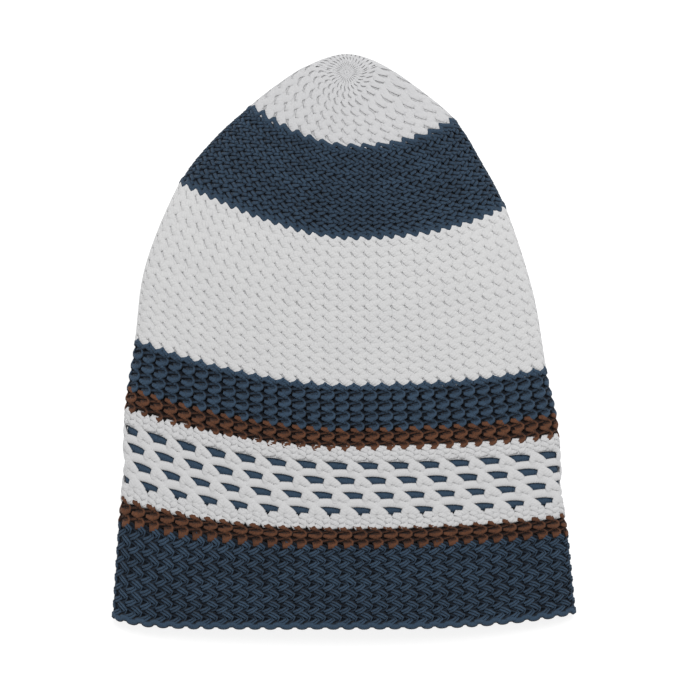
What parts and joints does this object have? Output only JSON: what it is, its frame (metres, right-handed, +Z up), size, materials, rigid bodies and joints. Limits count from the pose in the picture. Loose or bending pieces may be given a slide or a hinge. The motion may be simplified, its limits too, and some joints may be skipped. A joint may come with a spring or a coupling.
{
  "type": "knitted kufi cap",
  "caption": "Brimless knitted cap lying flat, with a gathered crown, coloured stripes, an openwork band and a ribbed brim band.",
  "frame": {"origin": "middle of the underside of the cap's bounding box, on the surface that its back layer lies on", "axes": "+Y from the head opening towards the crown, +Z up out of the front layer, +X towards the wearer's left when worn front outward"},
  "size_m": [0.1904, 0.2337, 0.03],
  "materials": {
    "white_yarn": "soft matt white knitting yarn",
    "navy_yarn": "soft matt dark blue knitting yarn",
    "brown_yarn": "soft matt chestnut brown knitting yarn"
  },
  "bodies": {
    "root": {"brim_band": "navy_yarn", "lower_pinstripe": "brown_yarn", "mesh_band": "white_yarn", "mesh_strand_1": "navy_yarn", "mesh_strand_2": "navy_yarn", "mesh_strand_3": "navy_yarn", "mesh_strand_4": "navy_yarn", "upper_pinstripe": "brown_yarn", "upper_band": "navy_yarn", "side_panel": "white_yarn", "crown_stripe": "navy_yarn", "crown_tip": "white_yarn"}
  },
  "joints": []
}
